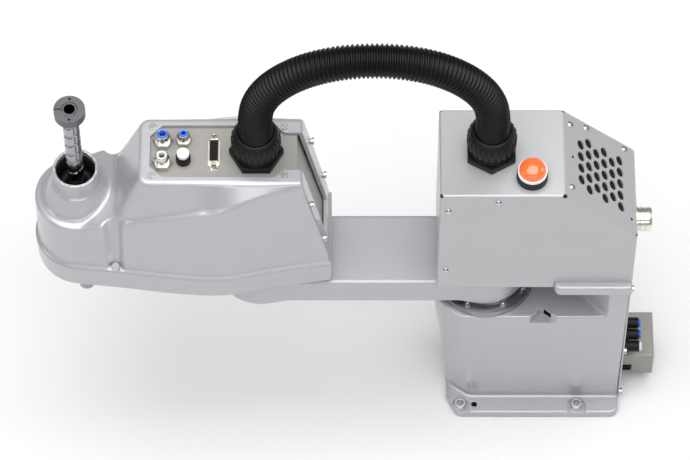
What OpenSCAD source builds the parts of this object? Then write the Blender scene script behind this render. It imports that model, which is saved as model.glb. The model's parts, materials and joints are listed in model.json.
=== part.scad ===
// SCARA robot arm with its controller built on the base.
// Origin: the first joint's axis on the mounting plane. +X runs along the stretched arm, +Z is up.

/* [Reach] */
// Distance from the first joint axis to the second
link_1 = 225; // [200:1:240]
// Distance from the second joint axis to the shaft axis
link_2 = 175; // [168:1:182]
// Stroke of the shaft
stroke = 150; // [60:1:150]

/* [Base] */
// Height of the casting's top face above the mounting plane
base_h = 178; // [176:0.5:180]
// Thickness of the mounting flange
flange_t = 10; // [8:0.5:12]
// Rear end of the casting
base_back = -141.4; // [-143:0.1:-140]
// Half width of the flange
flange_y = 68.3; // [66:0.1:70]
// Half width of the casting's body at its foot
body_y = 47.6; // [46:0.1:49]
// Half width of the casting's body at its top
top_y = 50; // [49:0.1:51]
// Wall thickness of the castings
wall = 6; // [4:0.5:7]
// Side of the square mounting bolt pattern
bolt_pitch = 120; // [118:1:122]
// Centre of the bolt pattern along X
bolt_x = -38.5; // [-40:0.5:-37]
// Diameter of the mounting holes
bolt_d = 9; // [8.5:0.5:10]
// Diameter of the locating pin hole
dowel_d = 6; // [5:0.5:7]
// Underside of the shelf that carries the controller
shelf_z = 236.5; // [236:0.5:238]
// Thickness of that shelf
shelf_t = 13.5; // [10:0.5:14]

/* [Controller] */
// Front wall of the sheet metal housing
box_front = 49.5; // [48:0.5:52]
// Right-hand wall of the housing
box_right = -47.5; // [-48:0.5:-44]
// Left-hand wall of the housing
box_left = 50.5; // [49:0.5:52]
// Height of the housing's top
box_top = 414.5; // [410:0.5:420]
// Where the top bends down into the sloping vent face
slope_x = -70; // [-75:1:-65]
// Height of the bend between the vent face and the rear wall
slope_z = 341; // [335:1:345]
// Lower edge of the housing in front of the shelf
skirt_z = 240.7; // [239.5:0.1:242]
// Sheet thickness
sheet = 1.5; // [1:0.1:2]

/* [Arm 1] */
// Underside of the first arm
arm1_z = 192; // [191:0.5:195]
// Top of the first arm
arm1_top = 228.5; // [226:0.5:230]
// Half width of the first arm
arm1_y = 39.2; // [37:0.1:41]
// Radius of the first arm's outer end
arm1_end_r = 43; // [42:0.5:44]

/* [Arm 2] */
// Underside of the second arm's casting
arm2_z = 232; // [231:0.5:233]
// Seam between that casting and its cover
seam_z = 268; // [266:0.5:270]
// Height of the cover's raised deck
deck_z = 415; // [412:0.5:418]
// Radius of the nose around the shaft
nose_r = 45.5; // [44:0.1:47]
// Wall thickness of the cover
cover_t = 4; // [3:0.5:4]

/* [Shaft] */
// Diameter of the hollow shaft
shaft_d = 16; // [15.9:0.05:16.1]
// Diameter of the hole through it
shaft_bore = 11; // [10:0.5:12]
// Lower end of the shaft at the top of its stroke
shaft_low = 162; // [161:0.5:165]
// Upper end of the shaft at the top of its stroke
shaft_high = 491; // [490:0.5:495]
// Length of the plain end that a tool clamps on
tool_end = 30; // [20:1:34]

/* [Cable duct] */
// Outer diameter of the corrugated duct
duct_d = 33; // [30:0.5:33]

/* [Hidden] */
$fn = 64;

shaft_x = link_1 + link_2;
shelf_top = shelf_z + shelf_t;
panel_z = deck_z - 4;
tiny = 0.01;
// Clearance between a part and the hole it passes through inside one body
slip = 0.2;
// Clearance between curved faces that turn against each other
turn_gap = 0.3;
// Radial clearance of the two nuts on the shaft
run_fit = 0.05;

// First joint: reducer flange, output hub and bolts
ring_r = 50;
ring_t = 9;
hub_r = 39.5;
hub_z = base_h + 2.5;
// Radius of the casting's front end at its top
front_r = 55;
ring_bolt_r = 43.8;
ring_bolt_angles = [32, 66, 114, 148, -32, -66, -114, -148];
reducer_r = 37;
reducer_z = 150;
motor_side = 60;
motor_1_z = 66;

// Second joint
hub_2_r = 32;
hub_2_z = 218;
reducer_2_r = 38;
reducer_2_top = 262;

// Wedge-shaped tower: its two faces run along the arm at the limits of the first joint
tower_limit = 132;
tower_apex = -78;

// Controller slope
// Rear wall of the housing, flush with the rear cover
box_back = base_back - 1.6;
box_step = -65.5;
slope_run = slope_x - box_back;
slope_drop = box_top - slope_z;
slope_angle = atan2(slope_drop, slope_run);
slope_len = norm([slope_run, slope_drop]);
vent_d = 10;
vent_pitch = 13;
vent_rows = [4, 5, 4, 5, 4, 5];
vent_first = 24.5;
vent_y = 1.5;

// Screws of the housing: [x, z] on the side walls, [distance down the slope, y] on the vent face
side_screws = [[41, 387], [-6.4, 403], [41.4, 274]];
slope_screws = [[10, -34.5], [33, -40.6], [88.5, -40.6], [10, 35.7]];

lamp_at = [-38.6, 28.8];

// Rear of the base
conn_box = [[base_back - 36, -25.6, 17.5], [base_back - 1.6, 25.6, 54.5]];
rear_fit_z = 90;
rear_fit_y = [7, 20.5, 34];
rear_screw_z = [14, 100, 228];
round_conn_z = 296;
round_conn_y = 5;

// Push-in fittings on the panel: [x, y, tube diameter, hex across flats, body diameter]
air_ports = [
    [314.8, -12, 6, 17, 14], [315, 12, 6, 17, 14],
    [294.8, -12.8, 4, 14, 12]];
button_at = [294.8, 8];
signal_x = 265.6;
jack_y = 16.65;

// Second arm
flank = [[354, 51], [313, 56.3], [271, 59.2], [247, 57.5], [212, 50], [153, 41]];
nose_arc = 83;
deck = [181, 337, 36.5];
window = [[327, 17], [315, 29], [207, 29], [198, 21], [150, 21]];
leaf_y = 24;
leaf_z = 285;
rear_foot = 153;
rear_screws = [[36, 375], [36, 312], [-36, 375], [-36, 312]];
deck_screws = [[324.8, 27.3], [324.8, -27.3], [197.7, 27.3], [197.7, -27.3]];
seam_screw = [365, 46.5];
boss_z = 384.5;
boss_r = 22;
boss_in = 19.2;

// Drive train of the shaft: belts, pulleys and motors
theta_at = [305, -22];
z_at = [305, 22];
theta_belt_z = 244;
z_belt_z = 296;
belt_w = 10;
belt_t = 1.5;
nut_pulley_r = 20;
motor_pulley_r = 12;
small_motor = 40;

// Route of the cable duct in the plane of the two joint axes: [x, z]
duct_route = [
    [0, 424], [0, 450], [0, 475], [4, 501], [15, 525], [33, 546], [56, 562], [84, 572],
    [112, 575], [141, 572], [169, 562], [192, 546], [210, 525], [221, 501],
    [225, 475], [225, 450], [225, 420]];
duct_sides = 12;

function unit(v) = v / norm(v);
function wrap(a) = a > 180 ? a - 360 : a < -180 ? a + 360 : a;
function left_of(d) = unit([-d.y, d.x]);

// Arc that rounds the corner b between its neighbours a and c
function corner(a, b, c, r, n = 6) =
    let (u = unit(a - b), w = unit(c - b), half = acos(u * w) / 2,
         mid = b + unit(u + w) * r / sin(half),
         p = b + u * r / tan(half) - mid, q = b + w * r / tan(half) - mid,
         from = atan2(p.y, p.x), sweep = wrap(atan2(q.y, q.x) - from))
    [for (i = [0 : n]) mid + r * [cos(from + sweep * i / n), sin(from + sweep * i / n)]];

// Polygon with every corner rounded by its own radius
function rounded(pts, radii) =
    let (n = len(pts))
    [for (i = [0 : n - 1])
        each (radii[i] == 0 ? [pts[i]]
            : corner(pts[(i + n - 1) % n], pts[i], pts[(i + 1) % n], radii[i]))];

// Anticlockwise polygon moved inwards by t
function inset(pts, t) =
    let (n = len(pts))
    [for (i = [0 : n - 1])
        let (b = pts[i], n1 = left_of(b - pts[(i + n - 1) % n]),
             n2 = left_of(pts[(i + 1) % n] - b), m = unit(n1 + n2))
        b + m * t / (m * n1)];

function mirrored(pts) = [for (i = [len(pts) - 1 : -1 : 0]) [pts[i].x, -pts[i].y]];
function lift(pts, z) = [for (p = pts) [p.x, p.y, z]];

// Plan of the second arm, anticlockwise from the nose's left tangent
arm2_plan = concat(
    [for (a = [-nose_arc : nose_arc / 8 : nose_arc])
        [shaft_x + nose_r * cos(a), nose_r * sin(a)]],
    flank, mirrored(flank));

// Rear face of the second arm: its place along X at height z
function rear_x(z) = rear_foot + (z - seam_z) * (deck[0] - rear_foot) / (deck_z - seam_z);

// Height of the cover's shoulder along the arm: flat at the nose, then rising towards the rear
function shoulder(x) = x > 385 ? 338 : 401 - 63 * pow(max(x - 181, 0) / 204, 1.35);

module solid_hull(points) {
    hull() polyhedron(points = points, faces = [[for (i = [0 : len(points) - 1]) i]]);
}

module plate(pts, z0, z1) {
    translate([0, 0, z0]) linear_extrude(z1 - z0) polygon(pts);
}

module block(lo, hi) {
    translate(lo) cube(hi - lo);
}

module post(at, r, z0, z1) {
    translate([at.x, at.y, z0]) cylinder(r = r, h = z1 - z0);
}

module hexagon(at, across_flats, z0, z1, turn = 0) {
    translate([at.x, at.y, z0]) rotate(turn) cylinder(d = across_flats / cos(30), h = z1 - z0, $fn = 6);
}

// Cylinder that points backwards from x0 to x1
module back_post(y, z, r, x0, x1) {
    translate([x1, y, z]) rotate([0, 90, 0]) cylinder(r = r, h = x0 - x1);
}

// Places children on the sloping vent face: down the slope by s, across at y, standing on the sheet
module on_slope(s, y) {
    translate([slope_x - s * cos(slope_angle), y, box_top - s * sin(slope_angle)])
        rotate([0, -slope_angle, 0]) children();
}

// ---------- base ----------

flange_plan = rounded(
    [[35.2, -49], [35.2, 49], [24.5, flange_y], [base_back, flange_y],
     [base_back, -flange_y], [24.5, -flange_y]],
    [6, 6, 8, 8, 8, 8]);
foot_plan = [
    [35, -32], [35, 32], [12, body_y], [base_back, body_y], [base_back, -body_y], [12, -body_y]];
top_plan = concat(
    [for (a = [-65 : 8.125 : 65]) front_r * [cos(a), sin(a)]],
    [[base_back, top_y], [base_back, -top_y]]);
tower_side = top_y / tan(180 - tower_limit);
tower_plan = [
    [tower_apex, 0], [tower_apex - tower_side, top_y], [base_back, top_y],
    [base_back, -top_y], [tower_apex - tower_side, -top_y]];
shelf_plan = rounded(
    [[-66, -58.2], [-66, 58.2], [box_back, 58.2], [box_back, -58.2]], [7, 7, 2, 2]);

module base_casting() {
    color("silver") difference() {
        union() {
            plate(flange_plan, 0, flange_t);
            solid_hull(concat(lift(foot_plan, flange_t - 1), lift(top_plan, base_h)));
        }
        // Room for the first motor, the wiring and the air tubes
        block([-132, -40, flange_t], [26, 40, base_h - 30]);
        block([20, -motor_side / 2 - 1, motor_1_z], [motor_side / 2 + 1, motor_side / 2 + 1, base_h - 30]);
        post([0, 0], reducer_r + slip, base_h - 31, base_h + 1);
        // Opening behind the rear cover, and the way up into the tower
        block([base_back - 1, -41, 20], [-131, 41, base_h + 1]);
        block([-132, -26, base_h - 31], [-112, 26, base_h + 1]);
        // Mounting holes with their open spot faces, and the locating pin hole
        for (sx = [-1, 1], sy = [-1, 1]) translate([bolt_x + sx * bolt_pitch / 2, sy * bolt_pitch / 2, 0]) {
            translate([0, 0, -1]) cylinder(d = bolt_d, h = flange_t + 2);
            translate([0, 0, flange_t - 1]) cylinder(r = 9, h = 2);
            translate([-9, sy > 0 ? 0 : -20, flange_t - 1]) cube([18, 20, 2]);
        }
        post([6.9, 58.7], dowel_d / 2, -1, flange_t + 1);
        // Notch in the upper edge with its slot
        plate([[-44.5, 56], [-44.5, 50], [-56.6, 38], [-73, 50.6], [-73, 56]], 167, base_h + 1);
        translate([-66, 45.2, 168.5]) rotate(-37.5) translate([0, -5, 0]) cube([9, 6, 8.5]);
        // Tapped holes of the rear cover
        for (y = [-45, 45], z = [rear_screw_z[0], rear_screw_z[1]])
            back_post(y, z, 1.7, base_back + 8, base_back - 1);
    }
}

// Upper part of the same casting: the tower and the shelf, which the first arm swings beside
module base_tower() {
    color("silver") difference() {
        union() {
            plate(tower_plan, base_h, shelf_z + 1);
            plate(shelf_plan, shelf_z, shelf_top);
        }
        // Wiring shaft up through the shelf, and the opening behind the rear cover
        block([-132, -26, base_h - 1], [-112, 26, shelf_top + 1]);
        block([base_back - 1, -41, base_h - 1], [-131, 41, 220]);
        for (y = [-45, 45]) back_post(y, rear_screw_z[2], 1.7, base_back + 8, base_back - 1);
    }
}

module rear_cover() {
    color("silver") difference() {
        block([base_back - 1.6, -48.5, 10.5], [base_back, 48.5, 236]);
        for (y = [-45, 45], z = rear_screw_z) back_post(y, z, 2.2, base_back + 1, base_back - 3);
        for (y = rear_fit_y) back_post(y, rear_fit_z, 5 + slip, base_back + 1, base_back - 3);
        block([base_back - 3, -18, 25], [base_back + 1, 18, 47]);
    }
}

module rear_cover_screws() {
    color("silver") for (y = [-45, 45], z = rear_screw_z) {
        back_post(y, z, 3.4, base_back - 1.6, base_back - 4.4);
        back_post(y, z, 1.5, base_back + 6, base_back - 2);
    }
}

module connector_box() {
    color("darkgray") difference() {
        block(conn_box[0], conn_box[1]);
        block(conn_box[0] + [2, 2, 2], conn_box[1] + [1, -2, -2]);
        // Cut-out on the left-hand side for the power connector
        block([base_back - 14, 20, 17], [base_back, 28, 35]);
    }
}

module power_inlet() {
    color("black") difference() {
        block([base_back - 13.5, 4, 20], [base_back - 2, 24, 34.5]);
        for (i = [0 : 2]) block([base_back - 12, 21, 22 + i * 4], [base_back - 4, 25, 24 + i * 4]);
    }
}

module rear_fittings() {
    color("black") for (y = rear_fit_y) difference() {
        union() {
            back_post(y, rear_fit_z, 5, base_back + 8, base_back - 2);
            translate([base_back - 1.6, y, rear_fit_z]) rotate([0, -90, 0])
                cylinder(d = 12 / cos(30), h = 5.4, $fn = 6);
            back_post(y, rear_fit_z, 5.8, base_back - 6.9, base_back - 18);
        }
        back_post(y, rear_fit_z, 3.05, base_back, base_back - 15);
        back_post(y, rear_fit_z, 4.3, base_back - 14, base_back - 19);
    }
}

module rear_ring(i) {
    color(i == 3 ? "white" : "royalblue") difference() {
        union() {
            back_post(rear_fit_y[i - 1], rear_fit_z, 4, base_back - 15.5, base_back - 19);
            back_post(rear_fit_y[i - 1], rear_fit_z, 4.8, base_back - 19, base_back - 20.5);
        }
        back_post(rear_fit_y[i - 1], rear_fit_z, 3.15, base_back - 14, base_back - 21);
    }
}

module j1_motor() {
    color("dimgray") {
        block([-motor_side / 2, -motor_side / 2, motor_1_z + 20],
              [motor_side / 2, motor_side / 2, reducer_z - 5]);
        post([0, 0], 25, reducer_z - 5.5, reducer_z);
        post([0, 0], 26, motor_1_z, motor_1_z + 20.5);
    }
}

module j1_reducer() {
    color("slategray") difference() {
        union() {
            post([0, 0], reducer_r, reducer_z, base_h + 1);
            post([0, 0], ring_r, base_h, base_h + ring_t);
        }
        post([0, 0], hub_r + turn_gap, hub_z - 0.5, base_h + ring_t + 1);
        for (a = ring_bolt_angles)
            post(ring_bolt_r * [cos(a), sin(a)], 3.7, base_h + ring_t - 3, base_h + ring_t + 1);
    }
}

module j1_reducer_bolts() {
    color("gray") for (a = ring_bolt_angles) difference() {
        post(ring_bolt_r * [cos(a), sin(a)], 3.5, base_h + ring_t - 3, base_h + ring_t + 1);
        hexagon(ring_bolt_r * [cos(a), sin(a)], 3, base_h + ring_t - 1, base_h + ring_t + 2);
    }
}

// ---------- controller ----------

// Side view of the housing as [x, z], inset by t and reaching down by an extra drop
function box_side(t, drop) =
    let (s = t * tan(slope_angle / 2), back = box_back + t, step = box_step)
    [[box_front - t, skirt_z - drop], [box_front - t, box_top - t], [slope_x + s, box_top - t],
     [back, slope_z - s], [back, shelf_top - drop], [step, shelf_top - drop], [step, skirt_z - drop]];

module side_prism(pts, y0, y1) {
    translate([0, y1, 0]) rotate([90, 0, 0]) linear_extrude(y1 - y0) polygon(pts);
}

module controller_tray() {
    color("silver") {
        block([box_step, box_right + sheet, skirt_z + 1],
              [box_front - sheet, box_left - sheet, skirt_z + 4]);
        block([box_step, box_right + sheet, skirt_z + 3.9],
              [box_step + 2, box_left - sheet, shelf_top + 3]);
        difference() {
            block([box_back + sheet + 0.5, box_right + sheet, shelf_top],
                  [box_step + 1, box_left - sheet, shelf_top + 3]);
            block([-131, -25, shelf_top - 1], [-113, 25, shelf_top + 4]);
        }
    }
}

module controller_cover() {
    color("gainsboro") difference() {
        side_prism(box_side(0, 0), box_right, box_left);
        side_prism(box_side(sheet, 1), box_right + sheet, box_left - sheet);
        post([0, 0], 19, box_top - 5, box_top + 1);
        post(lamp_at, 10, box_top - 5, box_top + 1);
        for (i = [0 : len(vent_rows) - 1], k = [0 : vent_rows[i] - 1])
            on_slope(vent_first + i * vent_pitch * sin(60),
                     vent_y + (k - (vent_rows[i] - 1) / 2) * vent_pitch)
                translate([0, 0, -3]) cylinder(d = vent_d, h = 4, $fn = 32);
        back_post(round_conn_y, round_conn_z, 11, box_back + 4, box_back - 1);
    }
}

module controller_screws() {
    color("silver") {
        for (s = side_screws) {
            translate([s.x, box_left, s.y]) rotate([-90, 0, 0]) cylinder(r1 = 3.6, r2 = 2.4, h = 1.8);
            translate([s.x, box_right, s.y]) rotate([90, 0, 0]) cylinder(r1 = 3.6, r2 = 2.4, h = 1.8);
        }
        for (s = slope_screws) on_slope(s.x, s.y) cylinder(r1 = 3.6, r2 = 2.4, h = 1.8);
    }
}

module vent_mesh() {
    color("black") on_slope(slope_len / 2, 2) translate([-38, -34, -sheet - 1.2]) cube([76, 68, 1]);
}

module fan_frame() {
    color("black") on_slope(slope_len / 2, 2) translate([0, 0, -sheet - 17]) difference() {
        translate([-30, -30, 0]) cube([60, 60, 15]);
        translate([0, 0, 3]) cylinder(r = 28, h = 20);
        translate([0, 0, -1]) difference() {
            cylinder(r = 28, h = 5);
            cylinder(r = 13, h = 5);
            for (a = [45, 225]) rotate(a) translate([0, -3, 0]) cube([40, 6, 5]);
        }
    }
}

module fan_rotor() {
    color("dimgray") on_slope(slope_len / 2, 2) translate([0, 0, -sheet - 13.5]) {
        cylinder(r = 12, h = 10);
        for (i = [0 : 6]) rotate(i * 360 / 7) translate([11, -0.8, 1]) rotate([35, 0, 0])
            cube([15, 1.6, 10]);
    }
}

module power_supply() {
    color("gray") block([-60, -40, skirt_z + 5], [40, 5, skirt_z + 65]);
}

module drive_board() {
    color("green") {
        block([-60, 40, skirt_z + 8], [44, 41.6, box_top - 30]);
        for (x = [-50, -20, 10]) block([x, 24, skirt_z + 30], [x + 22, 40.1, skirt_z + 60]);
        for (x = [-45, -10, 25]) translate([x, 40.1, skirt_z + 100]) rotate([90, 0, 0])
            cylinder(r = 8, h = 22);
    }
}

module lamp_base() {
    color("black") {
        post(lamp_at, 15, box_top, box_top + 9);
        post(lamp_at, 9.8, box_top - 12, box_top + 0.5);
    }
}

module lamp_bezel() {
    color("white") difference() {
        post(lamp_at, 14.3, box_top + 9, box_top + 13);
        post(lamp_at, 12.9, box_top + 8, box_top + 14);
    }
}

module lamp_lens() {
    color("orangered") {
        post(lamp_at, 12.7, box_top + 9, box_top + 15);
        translate([lamp_at.x, lamp_at.y, box_top + 15]) intersection() {
            translate([0, 0, -7.3]) sphere(r = 14.7);
            translate([-15, -15, -tiny]) cube([30, 30, 20]);
        }
    }
}

// Screwed body of a duct gland, standing on a sheet at height z
module gland_body(at, z, turn) {
    color("black") difference() {
        union() {
            hexagon(at, 46, z, z + 8, turn);
            post(at, 21.5, z + 7.9, z + 17);
            post(at, 18.7, z - 12, z + 0.5);
        }
        post(at, 17.2, z - 13, z + 18);
    }
}

// Clamping nut with gripping ribs and a domed mouth
module gland_nut(at, z) {
    ribs = 24;
    color("black") difference() {
        union() {
            translate([at.x, at.y, z + 17]) rotate_extrude() polygon(
                [[0, 0], [23, 0], [23, 13], [22, 17], [20, 20.5], [17.6, 22], [0, 22]]);
            for (i = [0 : ribs - 1])
                post([at.x + 23 * cos(i * 360 / ribs), at.y + 23 * sin(i * 360 / ribs)], 1.3, z + 18, z + 31);
        }
        post(at, 17.2, z + 16, z + 40);
    }
}

module robot_connector() {
    color("beige") difference() {
        union() {
            back_post(round_conn_y, round_conn_z, 13.5, box_back, box_back - 3);
            back_post(round_conn_y, round_conn_z, 12, box_back - 2.9, box_back - 17.5);
            back_post(round_conn_y, round_conn_z, 10.8, box_back + 10, box_back);
        }
        back_post(round_conn_y, round_conn_z, 9.5, box_back - 14, box_back - 18);
    }
}

// ---------- first arm ----------

module arm1_casting() {
    color("silver") difference() {
        union() {
            post([0, 0], 42, arm1_z, arm1_top);
            post([link_1, 0], arm1_end_r, arm1_z, arm1_top);
            block([0, -arm1_y, arm1_z], [link_1, arm1_y, arm1_top]);
        }
        // Weight-saving pocket from below
        block([50, -arm1_y + wall, arm1_z - 1], [link_1 - 50, arm1_y - wall, arm1_top - wall]);
        post([link_1, 0], hub_2_r, hub_2_z, arm1_top + 1);
    }
}

module j1_output_hub() {
    color("silver") post([0, 0], hub_r, hub_z, arm1_z);
}

module j2_output_hub() {
    color("silver") post([link_1, 0], hub_2_r, hub_2_z, arm2_z + 8);
}

// Tube of the given radius swept along points of the XZ plane
module swept_tube(route, r, sides) {
    n = len(route);
    rings = [for (i = [0 : n - 1])
        let (d = unit(route[min(i + 1, n - 1)] - route[max(i - 1, 0)]))
        for (k = [0 : sides - 1])
            let (a = k * 360 / sides)
            [route[i].x + r * cos(a) * -d.y, r * sin(a), route[i].y + r * cos(a) * d.x]];
    sides_faces = [for (i = [0 : n - 2], k = [0 : sides - 1])
        [i * sides + k, (i + 1) * sides + k, (i + 1) * sides + (k + 1) % sides, i * sides + (k + 1) % sides]];
    polyhedron(
        points = rings,
        faces = concat(
            [for (f = sides_faces) [f[0], f[1], f[2]]],
            [for (f = sides_faces) [f[0], f[2], f[3]]],
            [[for (k = [0 : sides - 1]) k], [for (k = [sides - 1 : -1 : 0]) (n - 1) * sides + k]]));
}

module cable_duct() {
    color("black") swept_tube(duct_route, duct_d / 2, duct_sides);
}

// ---------- second arm ----------

module arm2_casting() {
    color("silver") difference() {
        union() {
            difference() {
                plate(arm2_plan, arm2_z, seam_z);
                plate(inset(arm2_plan, wall), arm2_z + 8, seam_z + 1);
            }
            for (sy = [-1, 1]) post([seam_screw.x, sy * seam_screw.y * 0.93], 6, arm2_z + 7, seam_z);
        }
        post([link_1, 0], reducer_2_r - 3, arm2_z - 1, arm2_z + 9);
        post([shaft_x, 0], 18, arm2_z - 1, arm2_z + 9);
        for (sy = [-1, 1]) post([seam_screw.x, sy * seam_screw.y], 1.7, seam_z - 12, seam_z + 1);
    }
}

module cover_bulk(t) {
    low = t > 0 ? seam_z - 1 : seam_z;
    plan = inset(arm2_plan, t);
    solid_hull(concat(
        lift(plan, low),
        [for (p = inset(arm2_plan, t + 1.5)) [max(p.x, deck[0] + t - 2), p.y, shoulder(p.x) - t]]));
    solid_hull(concat(
        [for (x = [deck[0] + t, deck[1] - t], s = [-1, 1]) [x, s * (deck[2] - t), deck_z - t]],
        [for (q = [[366, 22, 345], [345, 44, 352], [268, 56, 388], [181, 43, 401]], s = [-1, 1])
            [q.x - t, s * (q.y - t), q.z - 2 - t]]));
}

module arm2_cover() {
    color("silver") difference() {
        union() {
            cover_bulk(0);
            translate([shaft_x, 0, 320]) rotate_extrude() polygon(
                [[0, 0], [33, 0], [33, 22], [23, 42], [boss_r, 44], [boss_r, boss_z - 320],
                 [0, boss_z - 320]]);
        }
        difference() {
            cover_bulk(cover_t);
            for (sy = [-1, 1]) post([seam_screw.x, sy * seam_screw.y], 12, seam_z - 2, 340);
        }
        post([shaft_x, 0], boss_in, 300, boss_z + 1);
        // Window over the panel, which runs out through the rear wall
        plate(concat(window, mirrored(window)), panel_z - 8, deck_z + 1);
        block([rear_foot - 5, -window[4].y, leaf_z + 5], [190, window[4].y, deck_z + 1]);
        for (s = rear_screws) translate([rear_x(s[1]), s[0], s[1]]) rotate([0, 90, 0])
            cylinder(r = 2.2, h = 16, center = true);
        for (s = deck_screws) post(s, 2.2, panel_z - 8, deck_z + 1);
        // Flutes that give access to the seam screws
        for (sy = [-1, 1]) {
            post([seam_screw.x, sy * (seam_screw.y + 4)], 8, seam_z + 4, 350);
            post([seam_screw.x, sy * seam_screw.y], 2.2, seam_z - 2, seam_z + 5);
        }
    }
}

module arm2_screws() {
    color("gray") {
        for (s = deck_screws) {
            post(s, 3.4, deck_z, deck_z + 2.2);
            post(s, 2, panel_z - 6, deck_z + 0.5);
        }
        for (sy = [-1, 1]) {
            post([seam_screw.x, sy * seam_screw.y], 3.8, seam_z + 4, seam_z + 8);
            post([seam_screw.x, sy * seam_screw.y], 1.6, seam_z - 10, seam_z + 4.5);
        }
        for (s = rear_screws) translate([rear_x(s[1]), s[0], s[1]]) rotate([0, 90, 0]) {
            translate([0, 0, -3.2]) cylinder(r = 3.4, h = 2.5);
            translate([0, 0, -1]) cylinder(r = 1.9, h = 9);
        }
    }
}

module user_panel() {
    color("tan") difference() {
        union() {
            plate(rounded([[186, -31], [330, -31], [330, 31], [186, 31]], [3, 3, 3, 3]),
                  panel_z - 2, panel_z);
            // Leaf bent down behind the rear wall
            side_prism([[187, panel_z], [rear_x(leaf_z) + 5, leaf_z], [rear_x(leaf_z) + 7, leaf_z],
                        [189, panel_z - 2], [189, panel_z]], -leaf_y, leaf_y);
        }
        for (s = deck_screws) post(s, 2.2, panel_z - 3, panel_z + 1);
        for (p = air_ports) post(p, p[4] / 2 - 1 + slip, panel_z - 3, panel_z + 1);
        post(button_at, 5.5, panel_z - 3, panel_z + 1);
        block([signal_x - 5, -12.5, panel_z - 3], [signal_x + 5, 12.5, panel_z + 1]);
        post([link_1, 0], 19, panel_z - 3, panel_z + 1);
    }
}

// A push-in fitting: threaded stem, hexagon, round body and the bore for the tube
module air_fittings() {
    color("lightgray") for (p = air_ports) difference() {
        union() {
            post(p, p[4] / 2 - 1, panel_z - 8, panel_z + 1);
            hexagon(p, p[3], panel_z, panel_z + 7);
            post(p, p[4] / 2, panel_z + 6.9, panel_z + 13);
            translate([p.x, p.y, panel_z + 12.9]) cylinder(r1 = p[4] / 2, r2 = p[2] / 2 + 2.9, h = 3.1);
        }
        post(p, p[2] / 2 + 0.05, panel_z - 4, panel_z + 17);
        post(p, p[2] / 2 + 1.3, panel_z + 9, panel_z + 17);
        post(p, p[2] / 2 + 2.1, panel_z + 13.8, panel_z + 17);
    }
}

module air_ring(i) {
    p = air_ports[i - 1];
    color(i == 2 ? "white" : "royalblue") difference() {
        union() {
            post(p, p[2] / 2 + 1, panel_z + 11, panel_z + 15.5);
            post(p, p[2] / 2 + 1.8, panel_z + 15.4, panel_z + 17);
        }
        post(p, p[2] / 2 + 0.15, panel_z + 10, panel_z + 18);
    }
}

module button_bezel() {
    color("black") difference() {
        union() {
            post(button_at, 7.1, panel_z, panel_z + 8);
            post(button_at, 5.3, panel_z - 12, panel_z + 0.5);
        }
        post(button_at, 4, panel_z + 1, panel_z + 9);
    }
}

module brake_button() {
    color("white") {
        post(button_at, 5.9, panel_z + 10.2, panel_z + 14);
        post(button_at, 3.7, panel_z + 3.2, panel_z + 10.5);
    }
}

module signal_shell() {
    color("lightgray") difference() {
        union() {
            plate([for (q = [[6.2, -13], [6.2, 13], [3.2, 15], [3.2, 19.5], [-3.2, 19.5], [-3.2, 15],
                             [-6.2, 13], [-6.2, -13], [-3.2, -15], [-3.2, -19.5], [3.2, -19.5], [3.2, -15]])
                q + [signal_x, 0]], panel_z, panel_z + 1);
            block([signal_x - 4.5, -12.3, panel_z - 10], [signal_x + 4.5, 12.3, panel_z + 5.8]);
        }
        block([signal_x - 4, -11.8, panel_z - 11], [signal_x + 4, 11.8, panel_z + 7]);
        for (sy = [-1, 1]) post([signal_x, sy * jack_y], 1.6, panel_z - 1, panel_z + 2);
    }
}

module signal_insert() {
    color("black") difference() {
        block([signal_x - 4, -11.8, panel_z - 9], [signal_x + 4, 11.8, panel_z + 5.2]);
        for (i = [0 : 7]) post([signal_x + 1.4, (i - 3.5) * 2.76], 0.6, panel_z + 1, panel_z + 6);
        for (i = [0 : 6]) post([signal_x - 1.4, (i - 3) * 2.76], 0.6, panel_z + 1, panel_z + 6);
    }
}

module jackscrews() {
    color("lightgray") for (sy = [-1, 1]) difference() {
        union() {
            hexagon([signal_x, sy * jack_y], 4.8, panel_z + 1, panel_z + 6);
            post([signal_x, sy * jack_y], 1.4, panel_z + 0.1, panel_z + 1.5);
        }
        post([signal_x, sy * jack_y], 1.25, panel_z + 2, panel_z + 7);
    }
}

// Plan of a belt around two pulleys: the outline at the given distance outside the pulleys
module belt_plan(at_a, r_a, at_b, r_b, out) {
    d = at_b - at_a;
    lean = acos((r_a - r_b) / norm(d));
    dir = atan2(d.y, d.x);
    step = 12;
    polygon(concat(
        [for (i = [0 : step]) at_a + (r_a + out)
            * [cos(dir + lean + i * (360 - 2 * lean) / step), sin(dir + lean + i * (360 - 2 * lean) / step)]],
        [for (i = [0 : step]) at_b + (r_b + out)
            * [cos(dir - lean + i * 2 * lean / step), sin(dir - lean + i * 2 * lean / step)]]));
}

module belt(at, z) {
    gap = 0.8;
    color("black") translate([0, 0, z]) linear_extrude(belt_w) difference() {
        belt_plan([shaft_x, 0], nut_pulley_r, at, motor_pulley_r, gap + belt_t);
        belt_plan([shaft_x, 0], nut_pulley_r, at, motor_pulley_r, gap);
    }
}

module motor_pulley(at, z) {
    color("silver") {
        post(at, motor_pulley_r, z - 0.5, z + belt_w + 0.5);
        post(at, 4, z + belt_w, z + belt_w + 5);
    }
}

module small_motor(at, z0, z1) {
    color("dimgray") difference() {
        block([at.x - small_motor / 2, at.y - small_motor / 2, z0],
              [at.x + small_motor / 2, at.y + small_motor / 2, z1]);
        post(at, 4 + turn_gap, z0 - 1, z0 + 4);
    }
}

module j2_motor() {
    color("dimgray") {
        block([link_1 - 28, -28, reducer_2_top], [link_1 + 28, 28, 350]);
        post([link_1, 0], 22, 349.5, 372);
    }
}

module j2_reducer() {
    color("slategray") difference() {
        post([link_1, 0], reducer_2_r, arm2_z + 8, reducer_2_top);
        post([link_1, 0], hub_2_r + turn_gap, arm2_z + 7, arm2_z + 8.5);
    }
}

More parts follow.
